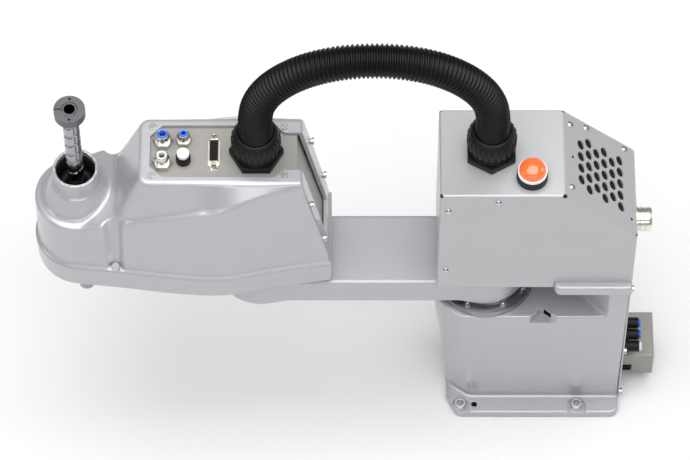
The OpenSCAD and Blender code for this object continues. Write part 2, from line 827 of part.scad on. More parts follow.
module motor_bracket() {
    color("gray") {
        difference() {
            block([278, -44, 312], [334, 44, 316]);
            post(z_at, 4 + turn_gap, 311, 317);
        }
        for (x = [281, 331], sy = [-1, 1]) post([x, sy * 41], 2.5, arm2_z + 8, 312.1);
    }
}

module nut_housing() {
    color("black") difference() {
        post([shaft_x, 0], 28, arm2_z + 8, 330);
        post([shaft_x, 0], 24.5, arm2_z + 7, 331);
        for (z = [theta_belt_z - 2, z_belt_z - 2])
            block([shaft_x - 40, -27, z], [shaft_x - 2, 27, z + belt_w + 4]);
    }
}

module spline_nut() {
    color("silver") difference() {
        union() {
            post([shaft_x, 0], 14, arm2_z - 6, 262);
            post([shaft_x, 0], 17.5, arm2_z - 6, arm2_z + 8);
            post([shaft_x, 0], nut_pulley_r, theta_belt_z - 0.5, theta_belt_z + belt_w + 0.5);
        }
        post([shaft_x, 0], shaft_d / 2 + run_fit, arm2_z - 7, 263);
    }
}

module ball_nut() {
    color("silver") difference() {
        union() {
            post([shaft_x, 0], 14, 282, 328);
            post([shaft_x, 0], nut_pulley_r, z_belt_z - 0.5, z_belt_z + belt_w + 0.5);
        }
        post([shaft_x, 0], shaft_d / 2 + run_fit, 281, 329);
    }
}

module shaft() {
    color("gainsboro") difference() {
        post([shaft_x, 0], shaft_d / 2, shaft_low, shaft_high);
        post([shaft_x, 0], shaft_bore / 2, shaft_low - 1, shaft_high + 1);
        // Relief groove behind the tool end
        difference() {
            post([shaft_x, 0], shaft_d, shaft_low + tool_end, shaft_low + tool_end + 1);
            post([shaft_x, 0], shaft_d / 2 - 0.4, shaft_low + tool_end - 1, shaft_low + tool_end + 2);
        }
    }
}

module shaft_collar() {
    color("gray") difference() {
        post([shaft_x, 0], 15, shaft_high - 10, shaft_high);
        post([shaft_x, 0], shaft_d / 2, shaft_high - 11, shaft_high + 1);
        block([shaft_x + 7, -0.6, shaft_high - 11], [shaft_x + 16, 0.6, shaft_high + 1]);
        for (sy = [-1, 1]) post([shaft_x, sy * 11.5], 1.25, shaft_high - 6, shaft_high + 1);
    }
}

base_casting();
base_tower();
rear_cover();
rear_cover_screws();
connector_box();
power_inlet();
rear_fittings();
rear_ring(1);  // rear_ring_1
rear_ring(2);  // rear_ring_2
rear_ring(3);  // rear_ring_3
j1_motor();
j1_reducer();
j1_reducer_bolts();
controller_tray();
controller_cover();
controller_screws();
vent_mesh();
fan_frame();
fan_rotor();
power_supply();
drive_board();
lamp_base();
lamp_bezel();
lamp_lens();
gland_body([0, 0], box_top, 30);  // box_gland_body
gland_nut([0, 0], box_top);  // box_gland_nut
robot_connector();
arm1_casting();
j1_output_hub();
j2_output_hub();
cable_duct();
arm2_casting();
arm2_cover();
arm2_screws();
user_panel();
air_fittings();
air_ring(1);  // air_ring_1
air_ring(2);  // air_ring_2
air_ring(3);  // air_ring_3
button_bezel();
brake_button();
signal_shell();
signal_insert();
jackscrews();
gland_body([link_1, 0], panel_z, 0);  // arm_gland_body
gland_nut([link_1, 0], panel_z);  // arm_gland_nut
j2_motor();
j2_reducer();
motor_bracket();
small_motor(z_at, 316, 362);  // z_motor
motor_pulley(z_at, z_belt_z);  // z_motor_pulley
belt(z_at, z_belt_z);  // z_belt
small_motor(theta_at, theta_belt_z + belt_w + 2, 294);  // theta_motor
motor_pulley(theta_at, theta_belt_z);  // theta_motor_pulley
belt(theta_at, theta_belt_z);  // theta_belt
nut_housing();
spline_nut();
ball_nut();
shaft();
shaft_collar();
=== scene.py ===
"""SCARA robot arm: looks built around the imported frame. Shapes are worked out in millimetres."""
import json
import math

import bmesh
import bpy
import numpy as np
from mathutils import Matrix, Vector


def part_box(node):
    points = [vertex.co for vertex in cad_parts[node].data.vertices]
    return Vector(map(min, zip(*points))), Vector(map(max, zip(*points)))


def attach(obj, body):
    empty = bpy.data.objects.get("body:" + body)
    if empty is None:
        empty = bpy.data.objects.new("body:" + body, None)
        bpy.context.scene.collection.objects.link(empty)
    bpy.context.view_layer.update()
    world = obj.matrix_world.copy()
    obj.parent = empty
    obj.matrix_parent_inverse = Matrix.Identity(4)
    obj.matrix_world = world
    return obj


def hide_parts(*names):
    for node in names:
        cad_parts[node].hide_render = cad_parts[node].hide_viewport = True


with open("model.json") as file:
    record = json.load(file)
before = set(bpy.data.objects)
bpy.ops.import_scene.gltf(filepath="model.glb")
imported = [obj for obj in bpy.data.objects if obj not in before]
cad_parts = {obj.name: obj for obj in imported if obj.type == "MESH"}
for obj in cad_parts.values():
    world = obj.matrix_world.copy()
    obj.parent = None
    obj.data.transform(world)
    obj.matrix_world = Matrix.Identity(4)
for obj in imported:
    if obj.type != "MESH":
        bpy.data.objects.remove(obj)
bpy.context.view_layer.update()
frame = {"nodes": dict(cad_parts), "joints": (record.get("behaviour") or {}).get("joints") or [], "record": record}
NODES = frame["nodes"]
MM = 0.001


def box_mm(node):
    """Lowest and highest corner of a CAD node in millimetres."""
    lo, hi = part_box(node)
    return np.array(lo) / MM, np.array(hi) / MM


def joint_at(name):
    """A joint's point in millimetres."""
    return [np.array(j["pos_m"]) / MM for j in frame["joints"] if j["name"] == name][0]


J2_X = joint_at("j2_elbow_swing")[0]
SHAFT_X = joint_at("j4_shaft_turn")[0]
BASE_LO, BASE_HI = box_mm("base_casting")
SHELF_LO, SHELF_HI = box_mm("base_tower")
COVER_HI = box_mm("arm2_cover")[1]
TRAY_LO, TRAY_HI = box_mm("arm2_casting")
ARM1_LO, ARM1_HI = box_mm("arm1_casting")
HOUSING_LO, HOUSING_HI = box_mm("controller_cover")
SEAM_Z = TRAY_HI[2]
DECK_Z = COVER_HI[2]
PANEL_Z = box_mm("user_panel")[1][2]
BASE_TOP = BASE_HI[2]


# ---------- camera, light and floor ----------

def make_camera():
    tilt = math.radians(59.63)
    cam = bpy.data.objects.new("camera", bpy.data.cameras.new("camera"))
    bpy.context.scene.collection.objects.link(cam)
    right = Vector((-1, 0, 0))
    up = Vector((0, -math.sin(tilt), math.cos(tilt)))
    back = Vector((0, math.cos(tilt), math.sin(tilt)))
    turn = Matrix((right, up, back)).transposed().to_4x4()
    cam.matrix_world = Matrix.Translation((0.14008, 2.1400, 3.9177)) @ turn
    cam.data.sensor_width = 36
    cam.data.lens = 223.6
    cam.data.clip_end = 20
    bpy.context.scene.camera = cam


def area_light(name, at, target, size, power, colour=(1, 1, 1)):
    data = bpy.data.lights.new(name, "AREA")
    data.shape = "RECTANGLE"
    data.size, data.size_y = size
    data.energy = power
    data.color = colour
    lamp = bpy.data.objects.new(name, data)
    bpy.context.scene.collection.objects.link(lamp)
    lamp.location = at
    aim = Vector(target) - Vector(at)
    lamp.rotation_euler = aim.to_track_quat("-Z", "Y").to_euler()


def make_lights():
    centre = (0.1, 0, 0.25)
    area_light("top_softbox", (0.1, 0.2, 2.8), centre, (3.2, 2.8), 118)
    area_light("front_strip", (0.1, 2.6, 1.6), centre, (3.2, 0.5), 20)
    area_light("rear_wall", (-2.3, -0.4, 1.2), (-0.1, 0, 0.35), (1.0, 1.3), 9)
    area_light("nose_wall", (2.4, 0.6, 1.3), centre, (0.8, 1.2), 5)
    world = bpy.data.worlds.new("studio")
    world.use_nodes = True
    sky = world.node_tree.nodes["Background"]
    sky.inputs["Color"].default_value = (0.96, 0.98, 1, 1)
    sky.inputs["Strength"].default_value = 0.2
    bpy.context.scene.world = world
    bpy.context.scene.view_settings.view_transform = "Standard"


# ---------- materials ----------

def material(name, colour, rough=0.4, metal=0.0, coat=0.0, grain=0.0, grain_size=1.5,
             rough_var=0.05, tone_var=0.03, brushed=None, glow=None, shine=0.5):
    """Principled material with fine grain in mm, slight tone change and an uneven gloss."""
    mat = bpy.data.materials.new(name)
    mat.use_nodes = True
    nt = mat.node_tree
    shader = nt.nodes["Principled BSDF"]
    shader.inputs["Metallic"].default_value = metal
    shader.inputs["Coat Weight"].default_value = coat
    shader.inputs["Coat Roughness"].default_value = 0.12
    shader.inputs["Specular IOR Level"].default_value = shine
    place = nt.nodes.new("ShaderNodeTexCoord").outputs["Object"]
    if brushed is not None:
        stretch = nt.nodes.new("ShaderNodeMapping")
        stretch.inputs["Scale"].default_value = brushed
        nt.links.new(place, stretch.inputs["Vector"])
        place = stretch.outputs["Vector"]
    fine = nt.nodes.new("ShaderNodeTexNoise")
    fine.inputs["Scale"].default_value = 1 / (grain_size * MM)
    fine.inputs["Detail"].default_value = 3
    nt.links.new(place, fine.inputs["Vector"])
    wide = nt.nodes.new("ShaderNodeTexNoise")
    wide.inputs["Scale"].default_value = 22
    wide.inputs["Detail"].default_value = 4
    nt.links.new(place, wide.inputs["Vector"])
    tone = nt.nodes.new("ShaderNodeMix")
    tone.data_type = "RGBA"
    nt.links.new(wide.outputs["Fac"], tone.inputs["Factor"])
    tone.inputs["A"].default_value = [c * (1 - tone_var) for c in colour] + [1]
    tone.inputs["B"].default_value = [min(c * (1 + tone_var), 1) for c in colour] + [1]
    nt.links.new(tone.outputs["Result"], shader.inputs["Base Color"])
    gloss = nt.nodes.new("ShaderNodeMapRange")
    gloss.inputs["To Min"].default_value = max(rough - rough_var, 0.02)
    gloss.inputs["To Max"].default_value = min(rough + rough_var, 1)
    nt.links.new(fine.outputs["Fac"], gloss.inputs["Value"])
    nt.links.new(gloss.outputs["Result"], shader.inputs["Roughness"])
    if grain:
        bump = nt.nodes.new("ShaderNodeBump")
        bump.inputs["Strength"].default_value = grain
        bump.inputs["Distance"].default_value = 0.0002
        nt.links.new(fine.outputs["Fac"], bump.inputs["Height"])
        nt.links.new(bump.outputs["Normal"], shader.inputs["Normal"])
    if glow:
        shader.inputs["Emission Color"].default_value = list(glow[0]) + [1]
        shader.inputs["Emission Strength"].default_value = glow[1]
    return mat


PAINT = material("silver_paint", (0.41, 0.415, 0.43), 0.30, 0.28, coat=0.45, grain=0.12, grain_size=1.2)
SHEET = material("silver_sheet", (0.42, 0.425, 0.435), 0.34, 0.28, coat=0.25, grain=0.15, grain_size=0.8)
PANEL = material("grey_panel", (0.28, 0.27, 0.25), 0.42, 0.2, grain=0.12, grain_size=0.8)
BOX_GREY = material("grey_box", (0.29, 0.28, 0.255), 0.36, 0.4, grain=0.1, grain_size=0.8)
BLACK = material("black_nylon", (0.004, 0.004, 0.0043), 0.46, grain=0.35, grain_size=0.5,
                 rough_var=0.1, shine=0.22)
DUCT = material("duct_nylon", (0.003, 0.003, 0.0033), 0.38, grain=0.2, grain_size=0.6,
                rough_var=0.08, shine=0.2)
RING_STEEL = material("machined_steel", (0.27, 0.275, 0.29), 0.28, 1.0, grain=0.15, grain_size=0.3,
                      tone_var=0.12)
BOLT = material("zinc_bolt", (0.52, 0.52, 0.54), 0.24, 1.0, grain=0.2, grain_size=0.4, tone_var=0.1)
DARK_BOLT = material("steel_bolt", (0.34, 0.34, 0.35), 0.30, 1.0, grain=0.2, grain_size=0.4, tone_var=0.15)
NICKEL = material("nickel", (0.56, 0.55, 0.52), 0.18, 1.0, grain=0.1, grain_size=0.5, tone_var=0.05)
GROUND = material("ground_steel", (0.34, 0.345, 0.36), 0.18, 1.0, grain=0.1, grain_size=0.2,
                  brushed=(1, 1, 12))
COLLAR = material("collar_steel", (0.13, 0.132, 0.138), 0.40, 0.8, grain=0.2, grain_size=0.4)
HUB = material("machined_aluminium", (0.66, 0.67, 0.69), 0.3, 1.0, grain=0.1, grain_size=0.4)
BLUE = material("blue_ring", (0.03, 0.16, 0.85), 0.28, coat=0.3, grain=0.05)
WHITE = material("white_ring", (0.80, 0.80, 0.79), 0.3, coat=0.3, grain=0.05)
LENS = material("orange_lens", (0.85, 0.12, 0.03), 0.16, coat=0.8, grain=0.05, tone_var=0.3,
                glow=((1.0, 0.16, 0.03), 0.35))
MOTOR = material("motor_paint", (0.03, 0.03, 0.032), 0.45, grain=0.2)
BOARD = material("circuit_board", (0.02, 0.16, 0.06), 0.4, grain=0.2)
SUPPLY = material("plain_sheet", (0.55, 0.56, 0.57), 0.35, 0.8, grain=0.1)
BELT = material("belt_rubber", (0.02, 0.02, 0.02), 0.7, grain=0.3)
SHELL_METAL = material("connector_shell", (0.80, 0.76, 0.66), 0.26, 0.9, grain=0.1, grain_size=0.5)
# Near-black painted shade for the walls of holes, slots and relief notches; cutters pass it to the faces they cut
HOLE_SHADE = material("painted_hole_shade", (0.008, 0.008, 0.008), 0.7)

SLOT_MATERIAL = {
    "paint_silver": PAINT, "sheet_silver": SHEET, "panel_grey": PANEL, "box_grey": BOX_GREY,
    "black_plastic": BLACK, "duct_plastic": DUCT, "ring_steel": RING_STEEL, "bolt_steel": BOLT,
    "nickel": NICKEL, "shaft_steel": GROUND, "collar_steel": COLLAR, "hub_aluminium": HUB,
    "blue_plastic": BLUE, "white_plastic": WHITE, "orange_lens": LENS, "motor_black": MOTOR,
    "board_green": BOARD, "supply_metal": SUPPLY, "belt_rubber": BELT, "connector_metal": SHELL_METAL,
}
SLOT_OF = {s["node"]: s["material_slot"] for s in frame["record"]["subparts"]}


# ---------- mesh helpers ----------

def add_mesh(name, verts, faces, mat, smooth=True):
    """New object from vertices in millimetres."""
    mesh = bpy.data.meshes.new(name)
    mesh.from_pydata((np.asarray(verts, float) * MM).tolist(), [], [list(map(int, f)) for f in faces])
    mesh.validate()
    obj = bpy.data.objects.new(name, mesh)
    bpy.context.scene.collection.objects.link(obj)
    mesh.materials.append(mat)
    mesh.polygons.foreach_set("use_smooth", [smooth] * len(mesh.polygons))
    return obj


def apply_modifiers(obj):
    graph = bpy.context.evaluated_depsgraph_get()
    mesh = bpy.data.meshes.new_from_object(obj.evaluated_get(graph))
    obj.modifiers.clear()
    obj.data = mesh


def join_meshes(name, parts):
    """One object from several, each keeping its own material."""
    bpy.ops.object.select_all(action="DESELECT")
    for part in parts:
        part.select_set(True)
    bpy.context.view_layer.objects.active = parts[0]
    if len(parts) > 1:
        bpy.ops.object.join()
    joined = bpy.context.view_layer.objects.active
    joined.name = name
    joined.data.name = name
    return joined


def place(obj, body, node=None, slot=None):
    """Ride on a body and stand for the CAD nodes named. The slot is looked up but not used."""
    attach(obj, body)
    if node:
        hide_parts(*([node] if isinstance(node, str) else node))
        slot = slot or SLOT_OF[node if isinstance(node, str) else node[0]]
    return obj


def soften(obj, width, segments=3, angle=32, weld=False):
    """Rounded edges and even shading."""
    if weld:
        obj.modifiers.new("weld", "WELD").merge_threshold = 2e-6
    bevel = obj.modifiers.new("bevel", "BEVEL")
    bevel.width = width * MM
    bevel.segments = segments
    bevel.limit_method = "ANGLE"
    bevel.angle_limit = math.radians(angle)
    bevel.harden_normals = False
    bevel.miter_outer = "MITER_ARC"
    normals = obj.modifiers.new("normals", "WEIGHTED_NORMAL")
    normals.keep_sharp = False
    normals.weight = 60


def cut(obj, cutters):
    """Subtract each cutter, whose material stays on the faces it cuts."""
    for cutter in cutters:
        if cutter.data.materials and cutter.data.materials[0].name not in obj.data.materials:
            obj.data.materials.append(cutter.data.materials[0])
        mod = obj.modifiers.new("cut", "BOOLEAN")
        mod.operation = "DIFFERENCE"
        mod.solver = "EXACT"
        mod.material_mode = "TRANSFER"
        mod.object = cutter
    apply_modifiers(obj)
    for cutter in cutters:
        bpy.data.objects.remove(cutter)


def lathe(name, profile, at, mat, axis=(0, 0, 1), segments=96, swell=None, smooth=True):
    """Turned piece from a profile of [radius, height], lower end first. swell adds to the radius."""
    profile = np.asarray(profile, float)
    angles = np.arange(segments) * 2 * math.pi / segments
    r = np.repeat(profile[:, :1], segments, axis=1)
    if swell:
        r = r + swell(angles[None, :], profile[:, 1:2], profile[:, :1])
    x, y = r * np.cos(angles), r * np.sin(angles)
    z = np.repeat(profile[:, 1:2], segments, axis=1)
    verts = np.stack([x, y, z], -1).reshape(-1, 3)
    rows = len(profile)
    faces = []
    for i in range(rows - 1):
        for k in range(segments):
            n = (k + 1) % segments
            faces.append((i * segments + k, i * segments + n,
                          (i + 1) * segments + n, (i + 1) * segments + k))
    if abs(profile[0, 0]) > 1e-6 or abs(profile[-1, 0]) > 1e-6:
        if not np.allclose(profile[0], profile[-1]):
            faces.append([k for k in range(segments)][::-1])
            faces.append([(rows - 1) * segments + k for k in range(segments)])
    turn = Vector((0, 0, 1)).rotation_difference(Vector(axis)).to_matrix()
    verts = verts @ np.array(turn).T + np.asarray(at, float)
    obj = add_mesh(name, verts, faces, mat, smooth)
    tidy_mesh(obj)
    return obj


def tidy_mesh(obj):
    """Weld doubles and point the faces outwards."""
    bm = bmesh.new()
    bm.from_mesh(obj.data)
    bmesh.ops.remove_doubles(bm, verts=bm.verts, dist=1e-6)
    bmesh.ops.recalc_face_normals(bm, faces=bm.faces)
    bm.to_mesh(obj.data)
    bm.free()


def prism(name, outline, lo, hi, mat, axis="z"):
    """Straight prism from a 2D outline. For axis y the outline is [x, z]."""
    n = len(outline)
    low = [(p[0], p[1], lo) for p in outline]
    high = [(p[0], p[1], hi) for p in outline]
    verts = np.array(low + high, float)
    if axis == "y":
        verts = verts[:, [0, 2, 1]]
    if axis == "x":
        verts = verts[:, [2, 0, 1]]
    faces = [list(range(n))[::-1], list(range(n, 2 * n))]
    faces += [(i, (i + 1) % n, n + (i + 1) % n, n + i) for i in range(n)]
    obj = add_mesh(name, verts, faces, mat, smooth=False)
    tidy_mesh(obj)
    return obj


def corner_arc(a, b, c, r, n=6):
    """Arc that rounds corner b between its neighbours."""
    a, b, c = (np.asarray(p, float) for p in (a, b, c))
    u, w = (a - b) / np.linalg.norm(a - b), (c - b) / np.linalg.norm(c - b)
    half = math.acos(float(np.clip(u @ w, -1, 1))) / 2
    centre = b + (u + w) / np.linalg.norm(u + w) * r / math.sin(half)
    p, q = b + u * r / math.tan(half) - centre, b + w * r / math.tan(half) - centre
    start = math.atan2(p[1], p[0])
    sweep = (math.atan2(q[1], q[0]) - start + math.pi) % (2 * math.pi) - math.pi
    return [centre + r * np.array((math.cos(start + sweep * i / n), math.sin(start + sweep * i / n)))
            for i in range(n + 1)]


def rounded(points, radii, n=6):
    """Polygon with each corner rounded by its own radius."""
    out = []
    for i, (p, r) in enumerate(zip(points, radii)):
        if r:
            out += corner_arc(points[i - 1], p, points[(i + 1) % len(points)], r, n)
        else:
            out.append(np.asarray(p, float))
    return out


def rectangle(x0, y0, x1, y1):
    return [(x0, y0), (x1, y0), (x1, y1), (x0, y1)]


# ---------- blended castings: a distance field turned into a mesh ----------

def join_round(a, b, r):
    """Union with a fillet of radius r."""
    return np.maximum(r, np.minimum(a, b)) - np.hypot(np.maximum(r - a, 0), np.maximum(r - b, 0))


def meet_round(a, b, r):
    """Intersection with a rounded edge of radius r."""
    return np.minimum(-r, np.maximum(a, b)) + np.hypot(np.maximum(r + a, 0), np.maximum(r + b, 0))


def cut_round(a, b, r):
    """a without b, with a rounded edge of radius r."""
    return meet_round(a, -b, r)


def slab(z, lo, hi):
    return np.abs(z - (lo + hi) / 2) - (hi - lo) / 2


def polygon_distance(x, y, points):
    """Signed distance to a closed polygon, negative inside."""
    pts = np.asarray(points, float)
    best = np.full(np.broadcast(x, y).shape, 1e12)
    sign = np.ones_like(best)
    for (ax, ay), (bx, by) in zip(pts, np.roll(pts, -1, axis=0)):
        ex, ey = bx - ax, by - ay
        wx, wy = x - ax, y - ay
        t = np.clip((wx * ex + wy * ey) / (ex * ex + ey * ey), 0, 1)
        best = np.minimum(best, (wx - ex * t) ** 2 + (wy - ey * t) ** 2)
        above, below, left = y >= ay, y < by, ex * wy > ey * wx
        flip = (above & below & left) | (~above & ~below & ~left)
        sign = np.where(flip, -sign, sign)
    return sign * np.sqrt(best)


def net_mesh(name, field, lo, hi, step, mat):
    """Closed mesh on the zero surface of field(x, y, z), by naive surface nets on a grid."""
    axes = [np.arange(a - 2 * step, b + 2.5 * step, step) for a, b in zip(lo, hi)]
    x, y, z = axes[0][:, None, None], axes[1][None, :, None], axes[2][None, None, :]
    f = np.broadcast_to(field(x, y, z), [len(a) for a in axes]).astype(np.float32)
    inside = f < 0
    corners = [(i, j, k) for i in (0, 1) for j in (0, 1) for k in (0, 1)]
    size = np.array(f.shape) - 1

    def part(a, c):
        return a[c[0]:c[0] + size[0], c[1]:c[1] + size[1], c[2]:c[2] + size[2]]

    count = sum(part(inside, c).astype(np.int8) for c in corners)
    cells = np.argwhere((count > 0) & (count < 8))
    total = np.zeros((len(cells), 3))
    hits = np.zeros(len(cells))
    for a in corners:
        for d in range(3):
            if a[d]:
                continue
            b = tuple(1 if i == d else a[i] for i in range(3))
            fa = f[tuple((cells + a).T)]
            fb = f[tuple((cells + b).T)]
            cross = (fa < 0) != (fb < 0)
            t = np.where(cross, fa / np.where(cross, fa - fb, 1), 0)
            point = np.array(a, float)[None, :] + t[:, None] * (np.array(b) - np.array(a))[None, :]
            total += np.where(cross[:, None], point, 0)
            hits += cross
    origin = np.array([a[0] for a in axes])
    verts = origin + step * (cells + total / hits[:, None])
    index = np.full(size, -1, np.int64)
    index[tuple(cells.T)] = np.arange(len(cells))
    faces = []
    for d in range(3):
        e, g = (d + 1) % 3, (d + 2) % 3
        first = [slice(None)] * 3
        second = [slice(None)] * 3
        first[d], second[d] = slice(0, -1), slice(1, None)
        change = np.argwhere(inside[tuple(first)] != inside[tuple(second)])
        change = change[(change[:, e] > 0) & (change[:, g] > 0)]
        quad = []
        for de, dg in ((1, 1), (0, 1), (0, 0), (1, 0)):
            at = change.copy()
            at[:, e] -= de
            at[:, g] -= dg
            quad.append(index[tuple(at.T)])
        quad = np.stack(quad, 1)
        starts_in = inside[tuple(change.T)]
        faces.append(quad[starts_in])
        faces.append(quad[~starts_in][:, ::-1])
    obj = add_mesh(name, verts, np.concatenate(faces), mat)
    return obj


def on_surface(obj, field, rounds=3):
    """Move the vertices onto the true zero surface of the field."""
    mesh = obj.data
    co = np.empty(len(mesh.vertices) * 3, np.float32)
    mesh.vertices.foreach_get("co", co)
    v = co.reshape(-1, 3).astype(float) / MM
    h = 0.05
    for _ in range(rounds):
        f = field(*v.T)
        grad = np.stack([(field(*(v + h * d).T) - field(*(v - h * d).T)) / (2 * h) for d in np.eye(3)], 1)
        size = np.maximum((grad ** 2).sum(1), 0.05)
        v -= np.clip(f / size, -0.4, 0.4)[:, None] * grad
    mesh.vertices.foreach_set("co", (v * MM).astype(np.float32).ravel())
    mesh.update()


def casting(name, field, lo, hi, step, mat):
    obj = net_mesh(name, field, lo, hi, step, mat)
    on_surface(obj, field)
    return obj


# ---------- base ----------

FLANGE_T = 10
BACK = BASE_LO[0]
SHELF_Z = 236.5
SHELF_TOP = SHELF_HI[2]
FLANGE = rounded([(35.2, -49), (35.2, 49), (24.5, 68.3), (BACK, 68.3), (BACK, -68.3), (24.5, -68.3)],
                 [6, 6, 8, 8, 8, 8])
FOOT = rounded([(35, -32), (35, 32), (12, 47.6), (BACK, 47.6), (BACK, -47.6), (12, -47.6)],
               [14, 14, 14, 2, 2, 14])
TOP = ([(55 * math.cos(math.radians(a)), 55 * math.sin(math.radians(a))) for a in np.linspace(-65, 65, 33)]
       + [(BACK, 50), (BACK, -50)])
TOWER = [(-78, 0), (-123, 50), (BACK - 3, 50), (BACK - 3, -50), (-123, -50)]
SHELF = rounded([(-66, -58.2), (-66, 58.2), (SHELF_LO[0], 58.2), (SHELF_LO[0], -58.2)], [7, 7, 2, 2])
BOLTS = [(-38.5 + sx * 60, sy * 60) for sx in (-1, 1) for sy in (-1, 1)]


def base_field(x, y, z):
    """Flange, drafted body, wedge-shaped tower and shelf."""
    flange = meet_round(polygon_distance(x, y, FLANGE), slab(z, 0, FLANGE_T), 1.5)
    rise = np.clip((z - FLANGE_T) / (BASE_TOP - FLANGE_T), 0, 1)
    side = polygon_distance(x, y, FOOT) * (1 - rise) + polygon_distance(x, y, TOP) * rise
    body = meet_round(side, slab(z, 0, BASE_TOP), 1.8)
    tower = np.maximum(polygon_distance(x, y, TOWER), slab(z, 150, SHELF_Z + 2))
    body = np.maximum(join_round(body, tower, 4), side)
    body = np.maximum(join_round(body, flange, 1.8), BACK - x)
    shelf = meet_round(polygon_distance(x, y, SHELF), slab(z, SHELF_Z, SHELF_TOP), 2.5)
    flare = 8 * np.clip((x + 141) / 12, 0.06, 1)
    return np.maximum(np.maximum(join_round(body, shelf, flare), SHELF_LO[0] - x), -z)


def disc(r, n=32, at=(0, 0)):
    return [(at[0] + r * math.cos(a), at[1] + r * math.sin(a)) for a in np.arange(n) * 2 * math.pi / n]


def socket_screw(name, at, r, low, seat, top, across, depth, mat, shank=4.0, axis=(0, 0, 1)):
    """Cap screw standing on seat, with a hexagon socket."""
    c = 0.09 * r
    profile = [(0, low), (shank, low), (shank, seat), (r, seat), (r, top - 2 * c), (r - 0.4 * c, top - c),
               (r - 1.6 * c, top), (0, top)]
    obj = lathe(name, profile, (0, 0, 0), mat, segments=48)
    hexagon = disc(across / math.sqrt(3), 6)
    cut(obj, [prism("socket", hexagon, top - depth, top + 1, DARK_BOLT)])
    turn = Vector((0, 0, 1)).rotation_difference(Vector(axis)).to_matrix().to_4x4()
    obj.data.transform(Matrix.Translation(Vector(at) * MM) @ turn)
    soften(obj, 0.25, 2)
    return obj


def make_base():
    """Base casting and tower as one blended body, with four bench bolts."""
    base = casting("base_body", base_field, (SHELF_LO[0], -68.3, 0), (56, 68.3, SHELF_TOP), 1.6, PAINT)
    notch = [(-44.5, 60), (-44.5, 50), (-56.6, 38), (-73, 50.6), (-73, 60)]
    cutters = [prism("notch", notch, 167, 190, PAINT)]
    # The slot walls take painted shade.
    slot = prism("slot", rectangle(0, -5, 9, 1), 168.5, 177, HOLE_SHADE)
    turn = Matrix.Rotation(math.radians(-37.5), 4, "Z")
    slot.data.transform(Matrix.Translation((-0.066, 0.0452, 0)) @ turn)
    for x, y in BOLTS:
        s = 1 if y > 0 else -1
        arc = [(x + 9 * math.cos(a), y - s * 9 * math.sin(a)) for a in np.linspace(0, math.pi, 17)]
        seat = arc + [(x - 9, y + s * 20), (x + 9, y + s * 20)]
        cutters.append(prism("seat", seat, FLANGE_T - 1, FLANGE_T + 8, PAINT))
        # The bolt hole walls take painted shade.
        cutters.append(prism("hole", disc(4.5, at=(x, y)), -1, FLANGE_T - 1, HOLE_SHADE))
    # The dowel hole walls take painted shade as well.
    cutters.append(prism("dowel", disc(3, at=(6.9, 58.7)), -1, FLANGE_T + 1, HOLE_SHADE))
    cut(base, [join_meshes("cutters", cutters)])
    cut(base, [slot])
    place(base, "base", ["base_casting", "base_tower"])
    for i, (x, y) in enumerate(BOLTS):
        bolt = socket_screw(f"mounting_bolt_{i + 1}", (x, y, 0), 6.5, 0.5, 9, 17, 6, 4, BOLT)
        place(bolt, "base", slot="bolt_steel")


# ---------- controller housing ----------

BOX_X = HOUSING_HI[0]
BOX_Y = (HOUSING_LO[1], HOUSING_HI[1])
BOX_TOP = HOUSING_HI[2]
BOX_BACK = HOUSING_LO[0]
SKIRT_Z = HOUSING_LO[2]
SLOPE_X, SLOPE_Z = -70, 341
SHEET_T = 1.5
VENT_ROWS = (4, 5, 4, 5, 4, 5)
VENT_FIRST, VENT_PITCH, VENT_Y, VENT_R = 24.5, 13, 1.5, 5
LAMP_AT = (-38.6, 28.8)
CONNECTOR_AT = (5, 296)
SKIRT_X = SHELF_HI[0] + 0.5
SLOPE = math.atan2(BOX_TOP - SLOPE_Z, SLOPE_X - BOX_BACK)
SLOPE_DIR = np.array((-math.cos(SLOPE), 0, -math.sin(SLOPE)))
SLOPE_UP = np.array((-math.sin(SLOPE), 0, math.cos(SLOPE)))


def on_slope(s, y, out=0.0):
    return np.array((SLOPE_X, y, BOX_TOP)) + SLOPE_DIR * s + SLOPE_UP * out


def rod(name, start, end, r, mat, n=24):
    """Plain cutter from start to end."""
    start, end = np.asarray(start, float), np.asarray(end, float)
    length = np.linalg.norm(end - start)
    obj = prism(name, disc(r, n), 0, length, mat)
    turn = Vector((0, 0, 1)).rotation_difference(Vector(end - start)).to_matrix().to_4x4()
    obj.data.transform(Matrix.Translation(Vector(start) * MM) @ turn)
    return obj


def box_outline(t, drop):
    """Side view of the housing as [x, z], inset by t and reaching down by an extra drop."""
    s = t * math.tan(SLOPE / 2)
    return [(BOX_X - t, SKIRT_Z - drop), (BOX_X - t, BOX_TOP - t), (SLOPE_X + s, BOX_TOP - t),
            (BOX_BACK + t, SLOPE_Z - s), (BOX_BACK + t, SHELF_TOP - drop),
            (SKIRT_X, SHELF_TOP - drop), (SKIRT_X, SKIRT_Z - drop)]


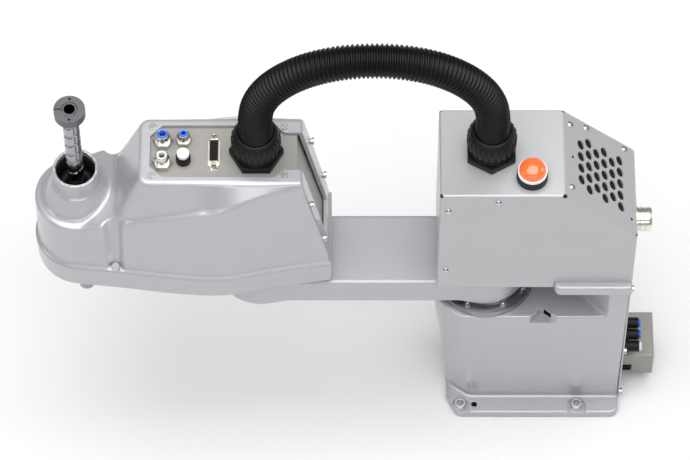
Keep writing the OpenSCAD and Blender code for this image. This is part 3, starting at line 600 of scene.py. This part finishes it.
def make_housing():
    """Folded sheet cover: rounded bends, vent holes, and relief holes where three bends meet."""
    box = prism("controller_housing", box_outline(0, 0), BOX_Y[0], BOX_Y[1], SHEET, axis="y")
    bm = bmesh.new()
    bm.from_mesh(box.data)
    bends = [e for e in bm.edges if all(f.normal.z > -0.5 for f in e.link_faces)
             and not all(abs(v.co.x / MM - SKIRT_X) < 0.1 for v in e.verts)]
    bmesh.ops.bevel(bm, geom=bends, offset=2.2 * MM, segments=5, profile=0.5, affect="EDGES")
    bm.to_mesh(box.data)
    bm.free()
    inner = prism("inside", box_outline(SHEET_T, 1), BOX_Y[0] + SHEET_T, BOX_Y[1] - SHEET_T, SHEET,
                  axis="y")
    holes = []
    for i, count in enumerate(VENT_ROWS):
        for k in range(count):
            s = VENT_FIRST + i * VENT_PITCH * math.sin(math.radians(60))
            y = VENT_Y + (k - (count - 1) / 2) * VENT_PITCH
            holes.append(rod("vent", on_slope(s, y, -4), on_slope(s, y, 2), VENT_R, SHEET))
    # The small holes take painted shade on their walls.
    for s, y in ((12.2, 0.8), (95.4, 35.3)):
        holes.append(rod("small", on_slope(s, y, -4), on_slope(s, y, 2), 1.5, HOLE_SHADE, 16))
    holes.append(rod("gland", (0, 0, BOX_TOP - 5), (0, 0, BOX_TOP + 1), 19, SHEET, 48))
    holes.append(rod("lamp", (*LAMP_AT, BOX_TOP - 5), (*LAMP_AT, BOX_TOP + 1), 10, SHEET, 32))
    holes.append(rod("connector", (BOX_BACK + 4, *CONNECTOR_AT), (BOX_BACK - 1, *CONNECTOR_AT),
                     11, SHEET, 32))
    # The dots take painted shade on their walls.
    for z in (330, 337, 344, 372, 379):
        holes.append(rod("dot", (BOX_X - 3, 44, z), (BOX_X + 1, 44, z), 1, HOLE_SHADE, 12))
    corners = [(BOX_X, BOX_TOP), (SLOPE_X, BOX_TOP), (BOX_BACK, SLOPE_Z)]
    notches = []
    for x, z in corners:
        for y in BOX_Y:
            r = 1.8 if x == BOX_BACK else 2.5
            aside = -0.6 if x > 0 else 0.3 if x == BOX_BACK else 0
            inwards = np.array((aside, 0.6 if y < 0 else -0.6, -0.6))
            bpy.ops.mesh.primitive_uv_sphere_add(segments=20, ring_count=12, radius=r * MM,
                                                 location=(np.array((x, y, z)) + inwards) * MM)
            ball = bpy.context.object
            ball.data.transform(ball.matrix_basis)
            ball.matrix_basis = Matrix.Identity(4)
            # The relief notch walls take painted shade.
            ball.data.materials.append(HOLE_SHADE)
            notches.append(ball)
    cut(box, [inner])
    cut(box, [join_meshes("holes", holes)])
    cut(box, [join_meshes("notches", notches)])
    box.data.polygons.foreach_set("use_smooth", [True] * len(box.data.polygons))
    normals = box.modifiers.new("normals", "WEIGHTED_NORMAL")
    normals.keep_sharp = True
    sharpen(box, 40)
    place(box, "base", "controller_cover")


def sharpen(obj, angle):
    """Mark the edges sharper than the angle, so that smooth shading stops there."""
    bm = bmesh.new()
    bm.from_mesh(obj.data)
    for e in bm.edges:
        e.smooth = not (len(e.link_faces) == 2 and e.calc_face_angle() > math.radians(angle))
    bm.to_mesh(obj.data)
    bm.free()


# ---------- first arm ----------

ARM1_Y = 39.2


def arm1_field(x, y, z):
    ends = np.minimum(np.hypot(x, y) - 42, np.hypot(x - J2_X, y) - 43)
    bar = np.maximum(np.abs(y) - ARM1_Y, np.abs(x - J2_X / 2) - J2_X / 2)
    return meet_round(join_round(ends, bar, 6), slab(z, ARM1_LO[2], ARM1_HI[2]), 2.6)


def make_arm1():
    arm = casting("arm1_body", arm1_field, (-42, -43, ARM1_LO[2]), (J2_X + 43, 43, ARM1_HI[2]), 1.5, PAINT)
    cut(arm, [prism("seat", disc(32, 64, (J2_X, 0)), 218, ARM1_HI[2] + 1, PAINT)])
    place(arm, "arm1", "arm1_casting")


# ---------- second arm ----------

NOSE_R = 45.5
FLANK = [(354, 51), (313, 56.3), (271, 59.2), (247, 57.5), (212, 50), (153, 41)]


def spline(points, steps=6):
    """Smooth curve through the points (centripetal Catmull-Rom), end points included."""
    p = [np.asarray(q, float) for q in points]
    p = [2 * p[0] - p[1]] + p + [2 * p[-1] - p[-2]]
    out = []
    for a, b, c, d in zip(p, p[1:], p[2:], p[3:]):
        t1 = np.linalg.norm(b - a) ** 0.5
        t2 = t1 + np.linalg.norm(c - b) ** 0.5
        t3 = t2 + np.linalg.norm(d - c) ** 0.5
        for i in range(steps):
            t = t1 + (t2 - t1) * i / steps
            ab, bc, cd = (a * (t1 - t) + b * t) / t1, (b * (t2 - t) + c * (t - t1)) / (t2 - t1), \
                (c * (t3 - t) + d * (t - t2)) / (t3 - t2)
            abc, bcd = (ab * (t2 - t) + bc * t) / t2, (bc * (t3 - t) + cd * (t - t1)) / (t3 - t1)
            out.append((abc * (t2 - t) + bcd * (t - t1)) / (t2 - t1))
    return out + [p[-2]]


def arm2_outline():
    nose = [np.array((SHAFT_X + NOSE_R * math.cos(a), NOSE_R * math.sin(a)))
            for a in np.radians(np.linspace(0, 83, 15))]
    half = nose[:-1] + spline([nose[-1]] + FLANK)
    return half + [np.array((q[0], -q[1])) for q in half[:0:-1]]


PLAN = arm2_outline()
SHOULDER = [(153, 403), (181, 401), (240, 395), (268, 387.5), (281, 385), (309, 374), (337, 364),
            (354, 355), (379, 345), (392, 339.5), (400, 338), (470, 338)]
SIDE_SLOPE = [(150, 0.45), (176, 0.45), (181, 0.5), (228, 0.89), (281, 0.44), (337, 0.173), (366, 0.15),
              (470, 0.15)]
DECK_FRONT = 337
DECK_Y = 36.5
NOSE_DECK = 342
BOSS_TOP = COVER_HI[2] - 30.5
BOSS_R, BOSS_BORE = 22, 19.2
SEAM_SCREW = (365, 46.5)
REAR = [(153, 268), (181, 415)]


def smooth_table(table, x):
    """Table looked up along a smooth curve."""
    dense = np.array(spline(table, 8))
    return np.interp(x, dense[:, 0], dense[:, 1])


def rear_distance(x, z):
    (x0, z0), (x1, z1) = REAR
    return ((z - z0) * (x1 - x0) - (x - x0) * (z1 - z0)) / math.hypot(x1 - x0, z1 - z0)


def cover_walls(x, y, z, t):
    """Distance to the drafted walls, moved inwards by t."""
    plan = polygon_distance(x, y, PLAN)
    lean = np.clip(z - SEAM_Z - 3, 0, 200) * 0.012
    return plan + 2.8 + lean + t


def cover_top(x, y, z, t):
    """Distance to the skin of the nose deck, the shoulder and the hump, lowered by t."""
    low = (z + t - smooth_table(SHOULDER, x)) * 0.95
    k = smooth_table(SIDE_SLOPE, x)
    side = (np.abs(y) + t - DECK_Y - (DECK_Z - z) * k) / np.sqrt(1 + k * k)
    front = ((x - DECK_FRONT) * 70 + (z - DECK_Z) * 29) / 75.8 + t
    bend = 9 + np.clip(DECK_Z - z, 0, 80) * 0.18
    hump = meet_round(side, front, bend)
    hump = meet_round(hump, z + t - DECK_Z, 2.5)
    return join_round(low, hump, 3)


def boss(x, y, z):
    """Tall collar around the shaft on its cone."""
    r = np.hypot(x - SHAFT_X, y)
    cone = (r - 32.5 + (z - NOSE_DECK) * 0.44) * 0.91
    cone = meet_round(cone, z - 362, 1.2)
    tube = meet_round(r - BOSS_R, z - BOSS_TOP, 1.2)
    return join_round(cone, tube, 2)


def flutes(x, y, z):
    """Upright hollows that give access to the seam screws."""
    h = np.clip((z - SEAM_Z - 3) / 75, 0, 1.3)
    shape = np.hypot(x - SEAM_SCREW[0], np.abs(y) - (49.5 - 1.8 * h)) - (6.8 + 2.6 * h)
    return np.maximum(shape, SEAM_Z + 3.2 - z)


def cover_field(x, y, z):
    walls = cover_walls(x, y, z, 0)
    top = cover_top(x, y, z, 0)
    body = meet_round(walls, top, 3)
    body = join_round(body, np.maximum(boss(x, y, z), NOSE_DECK - 8 - z), 5)
    body = meet_round(body, rear_distance(x, z), 2.5)
    body = cut_round(body, flutes(x, y, z), 4)
    band = meet_round(polygon_distance(x, y, PLAN) + 0.2, slab(z, SEAM_Z - 3, SEAM_Z + 3), 1)
    body = join_round(body, band, 2.5)
    inside = np.maximum(cover_walls(x, y, z, 4), cover_top(x, y, z, 4))
    inside = np.maximum(inside, rear_distance(x - 4, z))
    bore = np.maximum(np.hypot(x - SHAFT_X, y) - BOSS_BORE, 320 - z)
    seam_posts = np.hypot(x - SEAM_SCREW[0], np.abs(y) - SEAM_SCREW[1]) - 12
    inside = np.minimum(np.maximum(inside, -seam_posts), bore)
    body = np.maximum(body, -inside)
    return np.maximum(body, SEAM_Z - z)


def tray_field(x, y, z):
    plan = polygon_distance(x, y, PLAN)
    lean = np.clip(SEAM_Z - z, 0, 40) * 0.03
    outer = meet_round(plan + lean, TRAY_LO[2] - z, 7)
    outer = meet_round(outer, z - SEAM_Z, 0.6)
    inner = np.maximum(plan + 6, TRAY_LO[2] + 8 - z)
    body = np.maximum(outer, -inner)
    for at, r in (((J2_X, 0), 35), ((SHAFT_X, 0), 18)):
        body = np.maximum(body, r - np.hypot(x - at[0], y - at[1]))
    return body


def make_arm2():
    tray = casting("arm2_tray", tray_field, (153, -60, TRAY_LO[2]), (446, 60, SEAM_Z), 1.5, PAINT)
    place(tray, "arm2", "arm2_casting")
    cover = casting("arm2_shell", cover_field, (152, -60, SEAM_Z), (446, 60, DECK_Z), 1.5, PAINT)
    window = [(327, 17), (315, 29), (207, 29), (198, 21), (145, 21)]
    window = window + [(q[0], -q[1]) for q in window[::-1]]
    cut(cover, [prism("window", window, PANEL_Z - 8, DECK_Z + 5, PAINT)])
    opening = [(140, 290), (140, DECK_Z + 5), (199, DECK_Z + 5), (187, PANEL_Z - 8), (170, 290)]
    cut(cover, [prism("rear_opening", opening, -21, 21, PAINT, axis="y")])
    # The screw holes in the cover take painted shade on their walls.
    screws = [rod("hole", (x, y, DECK_Z - 8), (x, y, DECK_Z + 1), 2.2, HOLE_SHADE, 16)
              for x in (324.8, 197.7) for y in (-27.3, 27.3)]
    for z in (375, 312):
        x = REAR[0][0] + (z - REAR[0][1]) * (REAR[1][0] - REAR[0][0]) / (REAR[1][1] - REAR[0][1])
        screws += [rod("hole", (x - 8, y, z), (x + 8, y, z), 2.2, HOLE_SHADE, 16) for y in (-36, 36)]
    cut(cover, [join_meshes("holes", screws)])
    sharpen(cover, 38)
    place(cover, "arm2", "arm2_cover")
    lip = [(8.7, 356), (19.1, 356), (19.1, 359), (14, 360.5), (9.4, 360), (8.7, 359), (8.7, 356)]
    seal = lathe("shaft_seal", lip, (SHAFT_X, 0, 0), BLACK)
    place(seal, "arm2", slot="black_plastic")
    tube = [(19.2, 322), (19.2, 378), (18.7, 378), (18.7, 322), (19.2, 322)]
    well = lathe("shaft_well", tube, (SHAFT_X, 0, 0), BLACK)
    place(well, "arm2", slot="black_plastic")


# ---------- duct and its glands ----------

DUCT_ROUTE = [(0, 424), (0, 450), (0, 475), (4, 501), (15, 525), (33, 546), (56, 562), (84, 572),
              (112, 575), (141, 572), (169, 562), (192, 546), (210, 525), (221, 501), (225, 475),
              (225, 450), (225, 420)]


def resample(points, count):
    points = np.asarray(points, float)
    along = np.concatenate([[0], np.cumsum(np.linalg.norm(np.diff(points, axis=0), axis=1))])
    at = np.linspace(0, along[-1], count)
    return np.stack([np.interp(at, along, points[:, i]) for i in range(points.shape[1])], 1), along[-1]


def make_duct():
    pitch, rows, sides = 4.3, 8, 48
    curve = np.array(spline(DUCT_ROUTE, 24))
    length = resample(curve, 9)[1]
    ridges = round(length / pitch)
    line, length = resample(curve, ridges * rows + 1)
    tangent = np.gradient(line, axis=0)
    tangent /= np.linalg.norm(tangent, axis=1)[:, None]
    depth = np.array([0.0, 0.15, 0.55, 1.6, 2.0, 2.0, 1.6, 0.55])[np.arange(len(line)) % rows]
    radius = 16.5 - depth
    angles = np.arange(sides) * 2 * math.pi / sides
    side = np.stack([-tangent[:, 1], np.zeros(len(line)), tangent[:, 0]], 1)
    centre = np.stack([line[:, 0], np.zeros(len(line)), line[:, 1]], 1)
    verts = (centre[:, None] + radius[:, None, None] * (np.cos(angles)[None, :, None] * side[:, None]
             + np.sin(angles)[None, :, None] * np.array((0, 1, 0)))).reshape(-1, 3)
    faces = [(i * sides + k, i * sides + (k + 1) % sides,
              (i + 1) * sides + (k + 1) % sides, (i + 1) * sides + k)
             for i in range(len(line) - 1) for k in range(sides)]
    faces += [list(range(sides)), [(len(line) - 1) * sides + k for k in range(sides)]]
    duct = add_mesh("duct", verts, faces, DUCT)
    tidy_mesh(duct)
    place(duct, "arm1", "cable_duct")


def make_gland(name, node_body, node_nut, body, turn):
    (lo, hi) = box_mm(node_nut)
    x, y = (lo[0] + hi[0]) / 2, (lo[1] + hi[1]) / 2
    seat = lo[2] - 17
    hexagon = disc(23 / math.cos(math.pi / 6), 6)
    flats = prism(name + "_hexagon", hexagon, 0, 8, BLACK)
    spin = Matrix.Rotation(math.radians(turn), 4, "Z")
    flats.data.transform(Matrix.Translation(Vector((x, y, seat)) * MM) @ spin)
    soften(flats, 0.9, 3)
    apply_modifiers(flats)
    sleeve = [(18.7, -12), (18.7, 0.5), (20, 7), (22.4, 8), (21.5, 9), (21.5, 17), (17.3, 17),
              (17.3, -12), (18.7, -12)]
    collar = lathe(name + "_collar", sleeve, (x, y, seat), BLACK)
    place(join_meshes(name + "_body", [flats, collar]), body, node_body)

    def ribs(angle, z, r):
        fade = np.clip((z - 17.6) / 0.8, 0, 1) * np.clip((33.5 - z) / 3, 0, 1) * (r > 20)
        wave = np.clip(np.cos(24 * angle) * 1.6 + 0.25, 0, 1)
        return fade * (wave * 1.35 - 0.35)

    profile = [(17.3, 17), (22.6, 17), (23, 17.6), (23, 18.6), (23, 22), (23, 26), (23, 29.5),
               (22.7, 31.5), (22.2, 33.5), (21.4, 35.6), (20.2, 37.4), (18.8, 38.6), (17.6, 39),
               (17.1, 38.6), (16.9, 38), (17.3, 36), (17.3, 17)]
    nut = lathe(name + "_nut", profile, (x, y, seat), BLACK, segments=240, swell=ribs)
    sharpen(nut, 50)
    place(nut, body, node_nut)


# ---------- shaft ----------

def make_shaft():
    lo, hi = box_mm("shaft")
    low, high = lo[2], hi[2]
    lead, track, spline_half = 16, 1.9, 1.5

    def grooves(angle, z, r):
        on = np.clip((z - low - 44) / 1.5, 0, 1) * np.clip((high - 3 - z) / 1.5, 0, 1) * (r > 7.99)
        turn = (z - lead * angle / (2 * math.pi) + lead / 2) % lead - lead / 2
        helix = 1.15 * np.sqrt(np.clip(1 - (turn / track) ** 2, 0, 1))
        third = 2 * math.pi / 3
        across = ((angle + third / 2) % third - third / 2) * 8
        spline_cut = 0.8 * np.sqrt(np.clip(1 - (across / spline_half) ** 2, 0, 1))
        relief = 0.4 * ((z > low + 30) & (z < low + 31))
        return -on * np.maximum(helix, spline_cut) - relief * (r > 7.99)

    heights = np.arange(low + 0.6, high - 0.6, 0.55)
    profile = ([(5.5, low), (7.4, low)] + [(8, z) for z in heights]
               + [(8, high - 0.6), (7.4, high), (5.5, high), (5.5, low)])
    rod_piece = lathe("hollow_shaft", profile, (SHAFT_X, 0, 0), GROUND, segments=120, swell=grooves)
    sharpen(rod_piece, 35)
    place(rod_piece, "shaft", "shaft")


# ---------- lamp and connector ----------

def make_lamp():
    lo, hi = box_mm("lamp_lens")
    x, y = (lo[0] + hi[0]) / 2, (lo[1] + hi[1]) / 2
    r = (hi[0] - lo[0]) / 2
    rim = lo[2] + 5
    dome = [(r * math.cos(a), rim + (hi[2] - rim) * math.sin(a)) for a in np.linspace(0, math.pi / 2, 14)]
    lens = lathe("lamp_dome", [(0, lo[2]), (r, lo[2])] + dome, (x, y, 0), LENS, segments=72)
    place(lens, "base", "lamp_lens")


def make_connector():
    lo, hi = box_mm("robot_connector")
    y, z = (lo[1] + hi[1]) / 2, (lo[2] + hi[2]) / 2
    rings = [(0, -10), (10.8, -10), (10.8, 0), (13.5, 0), (13.5, 3), (12, 3), (12, 5), (11.4, 5.3),
             (11.4, 6.2), (12, 6.5), (12, 10), (11.3, 10.3), (11.3, 11.2), (12, 11.5), (12, 16.6),
             (11.4, 17.4), (9.5, 17.4), (9.5, 13.5), (0, 13.5)]
    shell = lathe("round_connector", rings, (BOX_BACK, y, z), SHELL_METAL, axis=(-1, 0, 0))
    sharpen(shell, 40)
    place(shell, "base", "robot_connector")


# ---------- everything the CAD model already has right ----------

BEVEL_MM = {
    "rear_cover": 0.6, "rear_cover_screws": 0.4, "connector_box": 0.8, "power_inlet": 0.4,
    "rear_fittings": 0.35, "j1_reducer": 0.8, "j1_reducer_bolts": 0.35, "controller_screws": 0.8,
    "lamp_base": 0.8, "lamp_bezel": 0.5, "arm2_screws": 1.0, "user_panel": 0.3, "air_fittings": 0.5,
    "button_bezel": 0.6, "brake_button": 0.8, "signal_shell": 0.25, "signal_insert": 0.2,
    "jackscrews": 0.3, "shaft_collar": 0.7,
}
NODE_MATERIAL = {"controller_screws": BOLT, "arm2_screws": BOLT, "j1_reducer_bolts": BOLT,
                 "spline_nut": DARK_BOLT}


def finish_nodes(replaced):
    for node, obj in NODES.items():
        if node in replaced:
            continue
        mat = NODE_MATERIAL.get(node, SLOT_MATERIAL[SLOT_OF[node]])
        if not obj.material_slots:
            obj.data.materials.append(mat)
        for slot in obj.material_slots:
            slot.material = mat
        obj.data.polygons.foreach_set("use_smooth", [True] * len(obj.data.polygons))
        soften(obj, BEVEL_MM.get(node, 0.3), 3 if node in BEVEL_MM else 1, weld=True)


def make_floor():
    bpy.ops.mesh.primitive_plane_add(size=8, location=(0.1, 0, 0))
    floor = bpy.context.object
    floor.name = "floor"
    mat = material("floor_paper", (0.76, 0.76, 0.765), 0.85, grain=0.03, grain_size=4, tone_var=0.004)
    floor.data.materials.append(mat)


make_camera()
make_duct()
make_lights()
make_base()
make_housing()
make_arm1()
make_arm2()
make_gland("box_gland", "box_gland_body", "box_gland_nut", "base", 30)
make_gland("arm_gland", "arm_gland_body", "arm_gland_nut", "arm2", 0)
make_shaft()
make_lamp()
make_connector()
finish_nodes({"base_casting", "base_tower", "controller_cover", "arm1_casting", "arm2_casting",
              "arm2_cover", "cable_duct", "box_gland_body", "box_gland_nut", "arm_gland_body",
              "arm_gland_nut", "shaft", "lamp_lens", "robot_connector"})
make_floor()
